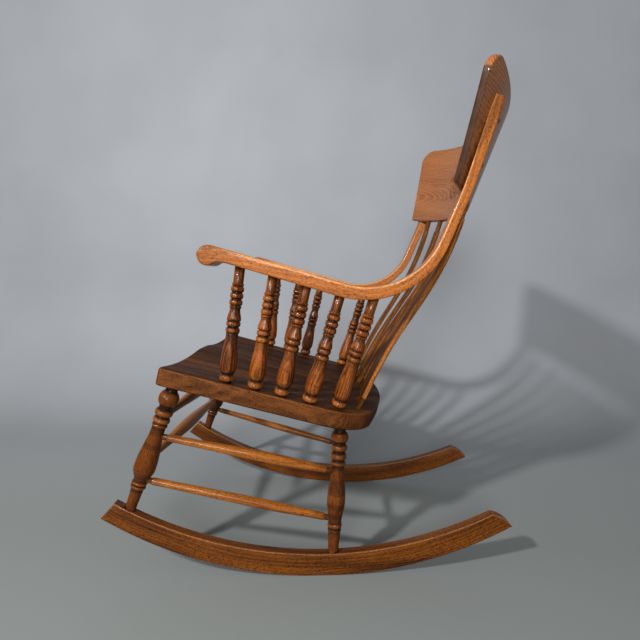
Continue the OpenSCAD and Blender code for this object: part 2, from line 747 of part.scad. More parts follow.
// The post twists as it rises, and its top is rounded off at the back
module post() {
  steps = 10;
  top_start_h = post_top_h - post_top_bevel;
  loft(concat(
    [for (i = [0:steps - 1])
      post_section(post_start_h + (top_start_h - post_start_h) * i / steps)],
    [for (a = [0:15:90])
      post_section(top_start_h + post_top_bevel * sin(a), 0.3 + 0.7 * cos(a))]
  ));
}
module in_crest_frame() {
  translate([0, crest_y, crest_h]) rotate([-crest_lean, 0, 0]) children();
}
// A screw's own frame: its head on the back of the post, its point towards the crest
module screw_frame(up) {
  z = post_knee_h + up;
  w = post_w(z);
  into = unit([-post_slip(z), -1, tan(post_upper_lean)]);
  p = [arm_out - w / 2, post_back(z) + w / 2 * post_slip(z), z] + into * screw_flat;
  between(p, p + into) children();
}
screw_heights = [screw_low, screw_high];
module arm() {
  color(oak) difference() {
    union() {
      difference() {
        translate([arm_out - arm_front_w, 0, 0]) rotate([90, 0, 90])
          linear_extrude(arm_front_w) arm_outline();
        arm_taper_cut();
      }
      post();
    }
    in_crest_frame() translate([0, crest_cy, -glue_gap])
      cylinder(h = far, r = crest_r + crest_t + glue_gap, $fn = curve_fn);
    for (i = [1:side_count])
      hole(spindle_head(i), spindle_foot(i), spindle_head_d / 2 + glue_gap,
        -spindle_tenon_l - hole_spare, arm_t);
    for (up = screw_heights) screw_frame(up) {
      cylinder(h = 2 * post_top_t, d = screw_d + 2 * glue_gap, $fn = round_fn);
      translate([0, 0, -4 * screw_flat])
        cylinder(h = 4 * screw_flat, d = screw_head_d + hole_spare, $fn = round_fn);
    }
  }
}

// Outline of an arm spindle: bulb and club at the bottom, then rings, bell, beads and neck.
// Heights in the upper pattern are hundredths of its length, measured down from the arm.
function spindle_points(l) =
  let (
    p = spindle_turning_l / 100,
    u = spindle_bulb_l,
    foot = spindle_foot_d / 2,
    neck = spindle_neck_d / 2,
    waist = spindle_waist_d / 2,
    ring = spindle_ring_d / 2,
    club = spindle_club_d / 2
  )
  concat(
    [[foot, -spindle_tenon_l], [foot, u * 0.17]],
    bead(u * 0.56, u * 0.61, foot + 1, spindle_bulb_d / 2),
    swell(u, foot + 2, u * 2, club),
    swell(u * 2.2, club, l - 100 * p, waist),
    bead(l - 95.4 * p, 8.5 * p, waist - 1, ring),
    bead(l - 85.4 * p, 8.5 * p, waist - 1, ring),
    swell(l - 80 * p, ring, l - 62.3 * p, neck, 6),
    bead(l - 60 * p, 3.8 * p, neck, waist, 4),
    [for (k = [0:2]) each bead(l - (53.1 - 10 * k) * p, 8.8 * p, neck, spindle_bead_d / 2)],
    bead(l - 26.2 * p, 3.8 * p, neck, waist, 4),
    [[spindle_head_d / 2, l - 23.1 * p], [spindle_head_d / 2, l + spindle_tenon_l]]
  );
module arm_spindle(i) {
  foot = spindle_foot(i);
  head = spindle_head(i);
  color(oak) between(foot, head) turned(spindle_points(norm(head - foot)));
}

// A slat's own frame: its ends on one upright line, its flat face to the front
module slat_frame(i) {
  foot = slat_foot(i);
  v = slat_head(i) - foot;
  lean = atan2(norm([v[0], v[1]]), v[2]);
  swing = atan2(-v[0], v[1]);
  translate(foot) rotate([0, 0, swing]) rotate([-lean, 0, 0]) children();
}
// How far a slat stands behind the straight line between its ends, at a share of its length
function slat_curve(t) = slat_bow * sin(180 * t) - slat_swing * sin(360 * t);
function slat_l(i) = norm(slat_head(i) - slat_foot(i));
// Where the blade ends and the upper neck begins, in the slat's own frame
function slat_shoulder(i) = let (l = slat_l(i), t = 1 - slat_head_neck / l)
  [0, slat_curve(t), l * t];
module slat_blade(i) {
  l = slat_l(i);
  steps = 20;
  t0 = slat_foot_neck / l;
  t1 = 1 - slat_head_neck / l;
  middle = [for (k = [0:steps]) let (t = t0 + (t1 - t0) * k / steps) [slat_curve(t), l * t]];
  board(slat_w) polygon(concat(
    [for (k = [0:steps]) middle[k] + [slat_t / 2, 0]],
    [for (k = [steps:-1:0]) middle[k] - [slat_t / 2, 0]]
  ));
}
module back_slat(i) {
  l = slat_l(i);
  shoulder = slat_shoulder(i);
  neck_l = norm([0, 0, l] - shoulder);
  color(oak) slat_frame(i) {
    slat_blade(i);
    translate([0, 0, -slat_tenon_l])
      cylinder(h = slat_tenon_l + slat_foot_neck + 2, d = slat_neck_d, $fn = round_fn);
    between(shoulder, [0, 0, l]) {
      translate([0, 0, -2]) cylinder(h = neck_l + 2 - hole_spare, d = slat_neck_d, $fn = round_fn);
      cylinder(h = neck_l + slat_tenon_l, d = slat_tenon_d, $fn = round_fn);
    }
  }
}

// Half of the crest laid out square to its end: a flared end and a rounded upper corner
crest_end_turn = (asin(crest_w / 2 / crest_r) + asin(crest_top_w / 2 / crest_r)) / 2;
function crest_end_x(x) = crest_r * sin(asin(x / crest_r) - crest_end_turn);
module crest_half_outline() {
  low = [crest_end_x(crest_half), 0];
  corner = [crest_end_x(crest_top_w / 2), crest_d];
  polygon(concat(
    [[-far, 0], low],
    rounded(low, corner, [-far, crest_d], crest_corner_r, 8),
    [[-far, crest_d]]
  ));
}
module crest_half_cut() {
  rotate([0, 0, -crest_end_turn]) translate([0, far, 0]) rotate([90, 0, 0])
    linear_extrude(far) crest_half_outline();
}
module crest_rail() {
  color(dark_oak) difference() {
    in_crest_frame() translate([0, crest_cy, 0]) intersection() {
      translate([0, 0, -crest_d]) difference() {
        cylinder(h = 3 * crest_d, r = crest_r + crest_t, $fn = curve_fn);
        translate([0, 0, -1]) cylinder(h = 3 * crest_d + 2, r = crest_r, $fn = curve_fn);
      }
      crest_half_cut();
      mirror([1, 0, 0]) crest_half_cut();
    }
    for (i = [1:slat_count]) slat_frame(i) between(slat_shoulder(i), [0, 0, slat_l(i)])
      cylinder(
        h = norm([0, 0, slat_l(i)] - slat_shoulder(i)) + slat_tenon_l + hole_spare,
        d = slat_tenon_d + 2 * glue_gap,
        $fn = round_fn
      );
    for (s = [0, 1]) mirror([s, 0, 0]) for (up = screw_heights) screw_frame(up)
      cylinder(h = screw_l + hole_spare, d = screw_d + 2 * glue_gap, $fn = round_fn);
  }
}
// Screws through the posts into the crest, with domed heads on the posts' backs
module crest_screws() {
  dome_h = screw_head_d / 4;
  dome_r = (pow(screw_head_d / 2, 2) + pow(dome_h, 2)) / (2 * dome_h);
  color("dimgray") for (s = [0, 1]) mirror([s, 0, 0]) for (up = screw_heights) screw_frame(up) {
    translate([0, 0, -dome_h / 2]) cylinder(h = screw_l + dome_h / 2, d = screw_d, $fn = round_fn);
    intersection() {
      translate([0, 0, -dome_h]) cylinder(h = dome_h, d = screw_head_d, $fn = round_fn);
      translate([0, 0, dome_r - dome_h]) sphere(dome_r, $fn = round_fn);
    }
  }
}

seat();
crest_rail();
crest_screws();
rocker();  // rocker_left
mirror([1, 0, 0]) rocker();  // rocker_right
arm();  // arm_left
mirror([1, 0, 0]) arm();  // arm_right
front_leg();  // front_leg_left
mirror([1, 0, 0]) front_leg();  // front_leg_right
rear_leg();  // rear_leg_left
mirror([1, 0, 0]) rear_leg();  // rear_leg_right
side_stretcher_upper();  // side_stretcher_upper_left
mirror([1, 0, 0]) side_stretcher_upper();  // side_stretcher_upper_right
side_stretcher_lower();  // side_stretcher_lower_left
mirror([1, 0, 0]) side_stretcher_lower();  // side_stretcher_lower_right
front_stretcher_upper();
front_stretcher_lower();
rear_stretcher();
for (i = [1:slat_count]) back_slat(i);
for (i = [1:side_count]) arm_spindle(i);
for (i = [1:side_count]) mirror([1, 0, 0]) arm_spindle(i);
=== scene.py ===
import itertools
import math
import bmesh
import bpy
import numpy as np
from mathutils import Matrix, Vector
from mathutils.bvhtree import BVHTree


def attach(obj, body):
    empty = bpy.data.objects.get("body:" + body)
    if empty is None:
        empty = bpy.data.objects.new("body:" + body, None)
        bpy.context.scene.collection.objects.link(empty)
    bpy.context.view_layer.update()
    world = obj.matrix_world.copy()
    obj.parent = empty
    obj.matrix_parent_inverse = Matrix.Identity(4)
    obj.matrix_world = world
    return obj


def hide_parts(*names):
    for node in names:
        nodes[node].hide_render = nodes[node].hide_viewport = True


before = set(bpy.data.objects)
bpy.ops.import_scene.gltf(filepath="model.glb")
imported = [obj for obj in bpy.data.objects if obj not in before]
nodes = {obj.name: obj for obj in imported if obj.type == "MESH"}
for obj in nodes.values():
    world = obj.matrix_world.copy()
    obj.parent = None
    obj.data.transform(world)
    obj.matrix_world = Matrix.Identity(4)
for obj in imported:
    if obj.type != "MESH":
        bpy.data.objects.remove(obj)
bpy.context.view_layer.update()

# Legs
# Two front and two rear legs, turned from oak, stained dark in the grooves and varnished.
# Each stands on a rocker with a round tenon and is glued into a blind hole under the seat.


class Value:
    """A value inside a material; arithmetic on it adds maths nodes."""

    def __init__(self, tree, socket):
        self.tree, self.socket = tree, socket

    def maths(self, operation, *others):
        values = dict(enumerate((self, *others)))
        return add(self.tree, "Math", {"operation": operation}, values, 0)

    def __add__(self, other):
        return self.maths("ADD", other)

    def __sub__(self, other):
        return self.maths("SUBTRACT", other)

    def __mul__(self, other):
        return self.maths("MULTIPLY", other)

    def __truediv__(self, other):
        return self.maths("DIVIDE", other)

    def __rsub__(self, other):
        return self * -1 + other

    __radd__ = __add__
    __rmul__ = __mul__

    def step(self, low, high):
        """0 at low, 1 at high, and an even ramp between."""
        return add(self.tree, "MapRange", {}, {"From Min": low, "From Max": high, "Value": self}, 0)


def add(tree, kind, settings, sockets, *wanted):
    """Adds a node, sets it, feeds its sockets values or links, and gives the wanted outputs."""
    node = tree.nodes.new("ShaderNode" + kind)
    for name, setting in settings.items():
        setattr(node, name, setting)
    for place, value in sockets.items():
        if isinstance(value, Value):
            tree.links.new(value.socket, node.inputs[place])
        else:
            node.inputs[place].default_value = value
    found = [Value(tree, node.outputs[output]) for output in wanted]
    return found[0] if len(found) == 1 else found


def blend_colours(tree, share, first, second):
    """The first colour where share is 0 and the second where it is 1."""
    first, second = (c if isinstance(c, Value) else (*c, 1.0) for c in (first, second))
    first_input, second_input, colour_output = 6, 7, 2
    sockets = {0: share, first_input: first, second_input: second}
    return add(tree, "Mix", {"data_type": "RGBA"}, sockets, colour_output)


def cleared(owner):
    """The empty node tree of a material or of the world."""
    owner.use_nodes = True
    owner.node_tree.nodes.clear()
    return owner.node_tree


def close_material(tree, **sockets):
    """Ends a material with its one shader, fed through the named sockets."""
    sockets = {name.replace("_", " "): value for name, value in sockets.items()}
    surface = add(tree, "BsdfPrincipled", {}, sockets, "BSDF")
    add(tree, "OutputMaterial", {}, {"Surface": surface})


# The stain's colour, which also serves as the colour of painted shade
stain_and_shade_colour = (0.010, 0.0035, 0.0015)
ring_width = 0.0042
ring_wander = 0.02
pore_depth = 0.0006


def oak(name, light, dark, wear_and_highlight, gloss=0.24, coat=0.2, streak=0.5, sheen=0.18,
        lines=0.5, pith=(0.045, -0.012, 0.0), bend=None):
    """Varnished oak: growth rings round a pith, open pores, stain in hollows, worn edges, and on some
    pieces painted highlight lines and painted shade.

    Light and dark are the wood's colours between and on the rings, the wear and highlight colour is
    that of rubbed edges and of painted highlight lines, and gloss is the roughness of the varnish.
    Streak and lines say how strong the broad streaks and the rings are. The pith lies at the first
    place of pith behind the piece and the second across it, and moves away by the third with each metre
    along it, which draws pointed arches.
    With a bend, the grain follows an arc of that radius: the attribute then holds the place
    seen from the arc's centre, as (outwards at the middle, flat, sideways).
    """
    material = bpy.data.materials.new(name)
    tree = cleared(material)
    grain = add(tree, "Attribute", {"attribute_name": "grain"}, {}, "Vector")
    if bend:
        outwards, flat, sideways = add(tree, "SeparateXYZ", {}, {0: grain}, "X", "Y", "Z")
        across = (outwards * outwards + sideways * sideways).maths("SQRT") - bend
        along = sideways.maths("ARCTAN2", outwards) * bend
        grain = add(tree, "CombineXYZ", {}, {"X": across, "Y": flat, "Z": along}, 0)
    stain_and_shade = add(tree, "Attribute", {"attribute_name": "stain_and_shade"}, {}, "Fac")
    edge = add(tree, "Attribute", {"attribute_name": "edge"}, {}, "Fac")

    def noise(drawn, scale, detail):
        """Noise over the wood, drawn out along the grain where drawn is under 1."""
        place = add(tree, "VectorMath", {"operation": "MULTIPLY"}, {0: grain, 1: (1, 1, drawn)}, 0)
        return add(tree, "TexNoise", {}, {"Vector": place, "Scale": scale, "Detail": detail}, 0)

    across, flat, along = add(tree, "SeparateXYZ", {}, {0: grain}, "X", "Y", "Z")
    x = across + pith[0] + along * pith[2] + noise(drawn=0.22, scale=26, detail=2) * ring_wander
    y = flat - pith[1]
    rings = (x * x + y * y).maths("SQRT") / ring_width
    within = (rings + noise(drawn=0.1, scale=90, detail=2) * 0.5).maths("FRACT")
    early = (within - 0.5).maths("ABSOLUTE").step(0.5, 0.12)
    pores = noise(drawn=0.25, scale=1300, detail=1).step(0.53, 0.62)
    fleck = noise(drawn=0.32, scale=760, detail=1).step(0.54, 0.63)
    fibre = noise(drawn=0.03, scale=420, detail=2)
    tone = noise(drawn=0.12, scale=30, detail=1)
    fine = fibre.step(0.35, 0.7) * 0.35
    dusk = (early * lines + tone.step(0.32, 0.68) * streak + fine) / 1.3
    marks = (pores * 0.5 + fleck * (0.35 + early * 0.45)).maths("MINIMUM", 0.9)
    # Rubbed edges take the wear and highlight colour; on the arms and the seat's top edge this is also
    # a painted highlight line
    rub_and_highlight = edge * (1.0 - dusk * 0.45 - marks * 0.6)
    # The stain attribute darkens towards the stain colour; on the seat's sides, the crest's ends and
    # the arms it also carries painted shade
    depth = (stain_and_shade * (0.8 + tone * 0.4)).maths("MINIMUM", 1.0) * 0.97

    colour = blend_colours(tree, dusk.step(0.05, 0.95), light, dark)
    colour = blend_colours(tree, marks, colour, [c * 0.25 for c in dark])
    colour = blend_colours(tree, rub_and_highlight, colour, wear_and_highlight)
    colour = blend_colours(tree, depth, colour, stain_and_shade_colour)
    height = 1.0 - marks * 0.8 - fibre * 0.2
    relief = {"Strength": 0.35, "Distance": pore_depth, "Height": height}
    close_material(tree, Base_Color=colour, Roughness=gloss + marks * 0.14 + tone * 0.06 + depth * 0.06,
                   Normal=add(tree, "Bump", {}, relief, 0), Coat_Weight=coat, Coat_Roughness=0.07,
                   Specular_IOR_Level=sheen)
    return material


def deselect():
    bpy.ops.object.select_all(action="DESELECT")


def active(piece):
    deselect()
    piece.select_set(True)
    bpy.context.view_layer.objects.active = piece


def carried(node, suffix, flat_angle=None):
    """A merged copy of a CAD node; with an angle, faces that lie flatter than it become one."""
    piece = bpy.data.objects.new(node + suffix, nodes[node].data.copy())
    bpy.context.collection.objects.link(piece)
    active(piece)
    bpy.ops.object.mode_set(mode="EDIT")
    bpy.ops.mesh.select_all(action="SELECT")
    bpy.ops.mesh.remove_doubles(threshold=0.00002)
    if flat_angle:
        bpy.ops.mesh.dissolve_limited(angle_limit=math.radians(flat_angle))
    bpy.ops.mesh.normals_make_consistent(inside=False)
    bpy.ops.object.mode_set(mode="OBJECT")
    return piece


def points(piece, kind="co"):
    """The places, or the normals, of a piece's vertices as rows of three."""
    values = np.empty(len(piece.data.vertices) * 3)
    piece.data.vertices.foreach_get(kind, values)
    return values.reshape(-1, 3)


def write(piece, name, values):
    """Keeps one number, or one vector, with each vertex for the material to read."""
    kind, field = ("FLOAT_VECTOR", "vector") if np.ndim(values) == 2 else ("FLOAT", "value")
    layer = piece.data.attributes.new(name, kind, "POINT")
    layer.data.foreach_set(field, np.asarray(values, np.float32).ravel())


def finished(piece, material, node, smooth=38):
    """Smooths a piece, gives it its material and puts it in the place of its CAD node."""
    active(piece)
    bpy.ops.object.shade_smooth_by_angle(angle=math.radians(smooth))
    piece.data.materials.clear()
    piece.data.materials.append(material)
    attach(piece, "root")
    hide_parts(node)


def axis_of(spots):
    """The middle line of a turned piece: the centres of the round faces at its two ends."""
    end_depth = 0.0015
    middle = spots.mean(0)
    along = np.linalg.svd(spots - middle, full_matrices=False)[2][0]
    reach = (spots - middle) @ along
    first = spots[reach < reach.min() + end_depth].mean(0)
    last = spots[reach > reach.max() - end_depth].mean(0)
    return (first, last) if last[2] + last[0] > first[2] + first[0] else (last, first)


piece_numbers = itertools.count(1)
cut_step, cut_apart = np.array([0.031, 0.023, 0.37]), 0.61


def next_shift():
    """Every piece is cut from another part of the tree."""
    number = next(piece_numbers)
    return cut_step * (number % 5 - 2) + [0, 0, cut_apart * number]


def running_mean(values, reach):
    """Mean over so many neighbours on each side."""
    padded = np.pad(values, reach, mode="edge")
    return np.convolve(padded, np.ones(2 * reach + 1) / (2 * reach + 1), mode="valid")


slice_l, least_radius = 0.0005, 0.004
form_reach, beads_reach, beads_swing = 18, 40, 0.0016
tenon_l, joint_l = 0.018, 0.035
off_axis = [0.3, 0.9, 0.2]


def turn_marks(piece, deep=0.0022, joint_stain=0.0):
    """Gives a turned piece its grain along the middle line and the stain in hollows and joints.

    A hollow is where the radius stays under the mean of its surroundings, and deep is the
    depth that takes the full stain. Rows of beads are darker all over.
    """
    spots = points(piece)
    low, high = axis_of(spots)
    length = np.linalg.norm(high - low)
    along = (high - low) / length
    side = np.cross(along, off_axis)
    side /= np.linalg.norm(side)
    flat = np.cross(along, side)
    from_low = spots - low
    reach = from_low @ along
    radius = np.sqrt(np.maximum((from_low**2).sum(1) - reach**2, 0))
    slices = np.arange(0, length, slice_l)
    outline = np.zeros(len(slices))
    np.maximum.at(outline, (reach / slice_l).astype(int).clip(0, len(slices) - 1), radius)
    known = outline > least_radius
    outline = np.interp(slices, slices[known], outline[known])
    form = running_mean(outline, form_reach)
    here = np.interp(reach, slices, form)
    swing = np.sqrt(running_mean((outline - form) ** 2, beads_reach))
    beads = (np.interp(reach, slices, swing) / beads_swing).clip(0, 1)
    off_joint = np.minimum(reach, length - reach) - tenon_l
    joint = (1 - off_joint / joint_l).clip(0, 1) * joint_stain
    write(piece, "stain_and_shade", ((here - radius) / deep + beads * 0.5 + joint).clip(0, 1))
    write(piece, "edge", ((radius - here) / deep - 0.35).clip(0, 1) * 0.5)
    write(piece, "grain", np.stack([from_low @ side, from_low @ flat, reach], 1) + next_shift())


leg_oak = oak("leg_oak", light=(0.195, 0.051, 0.005), dark=(0.034, 0.007, 0.001),
              wear_and_highlight=(0.36, 0.13, 0.022), coat=0.15, sheen=0.12, lines=0.3)
# The sitter's left is at plus X
sides = {"left": 1, "right": -1}
for side in sides:
    for leg in ("front_leg_", "rear_leg_"):
        piece = carried(leg + side, "_turned")
        turn_marks(piece, joint_stain=0.3)
        finished(piece, leg_oak, leg + side)

# Stretchers
# Seven turned bars tie the legs together: two on each side, two in front and one behind.
# They are plain long swells with a small step near each end, glued into blind holes.
stretcher_oak = oak("stretcher_oak", light=(0.46, 0.152, 0.020), dark=(0.12, 0.032, 0.004),
                    wear_and_highlight=(0.56, 0.22, 0.045), coat=0.12, sheen=0.15, lines=0.3)
stretchers = [f"side_stretcher_{level}_{side}" for level in ("upper", "lower") for side in sides]
for name in (*stretchers, "front_stretcher_upper", "front_stretcher_lower", "rear_stretcher"):
    piece = carried(name, "_turned")
    turn_marks(piece, deep=0.003, joint_stain=0.55)
    finished(piece, stretcher_oak, name)

# Arm spindles
# Five turned spindles under each arm: neck, three beads, bell, two rings, club and bulb.
# Their round ends are glued into the arm and the seat.
spindle_oak = oak("spindle_oak", light=(0.42, 0.112, 0.011), dark=(0.040, 0.008, 0.0012),
                  wear_and_highlight=(0.62, 0.22, 0.04), streak=0.75, lines=0.45)
foot_tenon = 0.015
# Heights above the seat in the plain foot, where they come to lie, and what their radius gains
foot_heights = np.array([0, 3, 4.6, 10.1, 15.6, 18, 24, 36, 50]) / 1000
fuller_heights = np.array([0, 2, 2.6, 9.6, 17.6, 19.2, 23, 34, 50]) / 1000
fuller_radii = np.array([0, 0, 0, 0, 0.3, 1.6, 1.9, 0, 0]) / 1000


def fuller_foot(piece):
    """Makes the bulb at a spindle's foot taller and the hollow above it tight."""
    spots = points(piece)
    low, high = axis_of(spots)
    along = (high - low) / np.linalg.norm(high - low)
    reach = (spots - low) @ along
    height = reach - foot_tenon
    beside = spots - low - np.outer(reach, along)
    radius = np.maximum(np.linalg.norm(beside, axis=1), 0.001)[:, None]
    lifted = np.where((height > 0) & (height < foot_heights[-1]),
                      np.interp(height, foot_heights, fuller_heights) - height, 0)
    wider = np.interp(height, foot_heights, fuller_radii)[:, None]
    spots = spots + np.outer(lifted, along) + beside / radius * wider
    piece.data.vertices.foreach_set("co", spots.ravel())


for side in sides:
    for number in range(1, 6):
        name = f"arm_spindle_{side}_{number}"
        piece = carried(name, "_turned")
        fuller_foot(piece)
        turn_marks(piece)
        finished(piece, spindle_oak, name)

# Rockers
# Two sawn and shaped oak boards, each with a rounded nose behind and a sawn front end.
# Their edges are softened, and each has two blind holes for the feet of the legs.
rocking_radius, lowest_y, rocker_x, toe = 0.83, 0.026, 0.22, math.radians(5.2)
rocker_oak = oak("rocker_oak", light=(0.225, 0.066, 0.0065), dark=(0.042, 0.010, 0.0012),
                 wear_and_highlight=(0.70, 0.34, 0.12), coat=0.12, sheen=0.12, streak=0.8, lines=0.3,
                 bend=rocking_radius)
rocker_edge_w, nose_edge_l, pith_off, rocker_lightening = 0.0022, 0.0035, 0.02, 0.28
flat_enough, sharp_angle = 0.6, math.radians(35)


def soften(piece, width, shortest=0.0):
    """Rounds the edges round a board's two sides, apart from those under a shortest length."""
    mesh = piece.data
    spots = points(piece)
    normals = {}
    for face in mesh.polygons:
        for key in face.edge_keys:
            normals.setdefault(key, []).append(np.array(face.normal))
    weights = mesh.attributes.new("bevel_weight_edge", "FLOAT", "EDGE")
    for edge in mesh.edges:
        beside = normals.get(edge.key, [])
        if len(beside) != 2 or beside[0] @ beside[1] >= math.cos(sharp_angle):
            continue
        on_side = max(abs(beside[0][0]), abs(beside[1][0])) > 0.9
        length = np.linalg.norm(spots[edge.vertices[0]] - spots[edge.vertices[1]])
        weights.data[edge.index].value = float(on_side and length > shortest)
    rounding = piece.modifiers.new("rounding", "BEVEL")
    rounding.limit_method = "WEIGHT"
    rounding.width, rounding.segments = width, 3
    rounding.use_clamp_overlap = False
    active(piece)
    bpy.ops.object.modifier_apply(modifier="rounding")


def even_normals(piece):
    """Keeps flat faces flat beside their rounded edges."""
    active(piece)
    piece.modifiers.new("normals", "WEIGHTED_NORMAL").keep_sharp = True
    bpy.ops.object.modifier_apply(modifier="normals")


for side, sign in sides.items():
    name = "rocker_" + side
    piece = carried(name, "_board", flat_enough)
    soften(piece, rocker_edge_w, shortest=nose_edge_l)
    even_normals(piece)
    x, y, z = points(piece).T
    x, y = x * sign - rocker_x, y - lowest_y
    ahead = y * math.cos(toe) - x * math.sin(toe)
    flat = y * math.sin(toe) + x * math.cos(toe)
    write(piece, "grain", np.stack([rocking_radius - z, flat + pith_off * sign, ahead], 1))
    # The middle of each rounded upper edge is found by its slanting normals, and is painted lighter
    normals = points(piece, "normal")
    sideways = np.abs(normals @ [math.cos(toe) * sign, math.sin(toe), 0])
    on_corner = (sideways > 0.4) & (sideways < 0.93) & (normals[:, 2] > 0.2)
    write(piece, "edge", on_corner * rocker_lightening)
    finished(piece, rocker_oak, name)

# Back slats
# Seven flat oak slats, bent to the sitter's back and left rather dull.
# Round pins at their ends go into the seat and into the crest rail.
slat_oak = oak("slat_oak", light=(0.36, 0.120, 0.018), dark=(0.055, 0.014, 0.002),
               wear_and_highlight=(0.50, 0.18, 0.035), gloss=0.50, coat=0.0, streak=0.6, sheen=0.10)
slat_edge_w, slat_slice, slat_rub_w, slat_rub = 0.0018, 0.004, 0.0016, 0.12
for number in range(1, 8):
    name = f"back_slat_{number}"
    piece = carried(name, "_slat", flat_enough)
    soften(piece, slat_edge_w)
    even_normals(piece)
    # The slat tapers, so its two long edges are looked for slice by slice
    spots = points(piece)
    from_middle = spots - spots.mean(0)
    along, wide = np.linalg.svd(from_middle, full_matrices=False)[2][:2]
    reach, aside = from_middle @ along, from_middle @ wide
    slices = ((reach - reach.min()) / slat_slice).astype(int)
    left_edge, right_edge = np.full((2, slices.max() + 1), [[1.0], [-1.0]])
    np.minimum.at(left_edge, slices, aside)
    np.maximum.at(right_edge, slices, aside)
    off_edge = np.minimum(aside - left_edge[slices], right_edge[slices] - aside)
    write(piece, "edge", (1 - off_edge / slat_rub_w).clip(0, 1) * slat_rub)
    grain = np.stack([aside, from_middle @ np.cross(along, wide), reach], 1)
    write(piece, "grain", grain + next_shift())
    finished(piece, slat_oak, name)

# Seat
# A thick plank, glued up from six oak boards that run from front to back.
# Its top is hollowed for sitting, and its edges are rounded over.
seat_oak = oak("seat_oak", light=(0.17, 0.056, 0.016), dark=(0.036, 0.012, 0.0035),
               wear_and_highlight=(0.40, 0.120, 0.018), gloss=0.52, coat=0.0, streak=0.8, sheen=0.09)
slope, seat_t, side_height = math.radians(14), 0.035, -0.018
seat_back = np.array([0, math.cos(slope), -math.sin(slope)])
seat_up = np.array([0, math.sin(slope), math.cos(slope)])
# The middle of the top's front edge, and the seat's middle from there: across and backwards
seat_corner = np.array([0, -0.290, 0.442])
seat_middle = np.array([0.0, 0.235])
# The hollow for each thigh, the round one behind, and how softly they meet
scoop_x, scoop_w, scoop_l, scoop_depth = 0.146, 0.225, 0.330, 0.009
dish_at, dish_d, dish_depth = 0.236, 0.370, 0.007
blend_w = 0.0010
top_r, low_r = 0.0050, 0.0035
# Each board has its own tone and lies a little further in the tree than the one beside it
board_left, board_w, board_aside, board_behind = -0.31, 0.104, 0.013, 0.47
board_stain = np.array([0.1, 0.42, 0.05, 0.34, 0.0, 0.25])
# The sides are tinted lighter and more orange than the top, and the middle of the top's rounded edge is
# rubbed and painted with a highlight line
side_tint, corner_rub_and_highlight = 0.34, 0.7
# The sides are painted darker towards the back, as shade
rear_shade, rear_shade_start, rear_shade_fade = 0.45, 0.27, 0.16
outline_points = 480


def hollow(x, d):
    """Height of the saddled top: a hollow for each thigh, a round one behind, and soft ridges."""
    scoop_r = (scoop_w**2 / 4 + scoop_depth**2) / (2 * scoop_depth)
    dish_r = (dish_d**2 / 4 + dish_depth**2) / (2 * dish_depth)
    parts = [np.zeros_like(x), (x**2 + (d - dish_at) ** 2) / (2 * dish_r) - dish_depth]
    for sign in (-1, 1):
        parts.append((x - sign * scoop_x) ** 2 / (2 * scoop_r) - scoop_depth * (1 - d / scoop_l))
    # A soft minimum, in which parts above 20 mm count no more
    return -blend_w * np.log(sum(np.exp(-np.minimum(p, 0.02) / blend_w) for p in parts))


def outer_points(flat_points):
    """The corners of the convex outline round some points, in order."""
    ordered = sorted(map(tuple, flat_points))
    halves = []
    for run in (ordered, ordered[::-1]):
        half = []
        for p in run:
            while len(half) > 1 and ((half[-1][0] - half[-2][0]) * (p[1] - half[-2][1])
                                     <= (half[-1][1] - half[-2][1]) * (p[0] - half[-2][0])):
                half.pop()
            half.append(p)
        halves += half[:-1]
    return np.array(halves)


def outline_reach(ring, angles):
    """Distance from the middle to a convex outline, along each direction."""
    around = np.arctan2(ring[:, 1], ring[:, 0])
    ring, around = ring[np.argsort(around)], np.sort(around)
    reach = []
    for angle in angles:
        after = np.searchsorted(around, angle) % len(ring)
        p, q = ring[after - 1], ring[after]
        run = q - p
        reach.append((p[0] * run[1] - p[1] * run[0])
                     / (math.cos(angle) * run[1] - math.sin(angle) * run[0]))
    return np.array(reach)


spots = points(nodes["seat"]) - seat_corner
under = spots[spots @ seat_up < -seat_t + 0.0002]
edge_points = np.stack([under[:, 0], under @ seat_back], 1) - seat_middle
angles = np.linspace(-math.pi, math.pi, outline_points, endpoint=False) + 0.001
reach = outline_reach(outer_points(edge_points.round(5)), angles)
ways = np.stack([np.cos(angles), np.sin(angles)], 1)


def seat_loop(inward, height=None, drop=0.0):
    """The seat's outline moved inwards, at a height or at a drop below the hollowed top."""
    flat = seat_middle + ways * np.maximum(reach - inward, 0.0015 * reach)[:, None]
    x, d = flat.T
    z = hollow(x, d) - drop if height is None else np.full_like(x, height)
    return seat_corner + np.outer(x, [1, 0, 0]) + np.outer(d, seat_back) + np.outer(z, seat_up)


def extruded(name, loops):
    """Extrudes a ring of edges from loop to loop and closes both ends."""
    loops = np.asarray(loops)
    deselect()
    bpy.ops.mesh.primitive_circle_add(vertices=loops.shape[1])
    piece = bpy.context.object
    piece.name = name
    order = piece.data.attributes.new("order", "INT", "POINT")
    order.data.foreach_set("value", np.arange(loops.shape[1]))
    piece.data.vertices.foreach_set("co", loops[0].ravel())
    bpy.ops.object.mode_set(mode="EDIT")
    bpy.ops.mesh.select_all(action="SELECT")
    bpy.ops.mesh.edge_face_add()
    bpy.ops.mesh.select_mode(type="EDGE")
    for loop in loops[1:]:
        bpy.ops.mesh.extrude_edges_indiv()
        net = bmesh.from_edit_mesh(piece.data)
        order = net.verts.layers.int["order"]
        for vertex in net.verts:
            if vertex.select:
                vertex.co = loop[vertex[order]]
    bpy.ops.mesh.edge_face_add()
    bpy.ops.mesh.select_all(action="SELECT")
    bpy.ops.mesh.normals_make_consistent(inside=False)
    bpy.ops.object.mode_set(mode="OBJECT")
    return piece


loops, edge_marks = [], []
for share in (0.002, *np.linspace(0.03, 1, 40)):
    loops.append(seat_loop((1 - share) * (reach - top_r) + top_r))
    edge_marks.append(0.0)
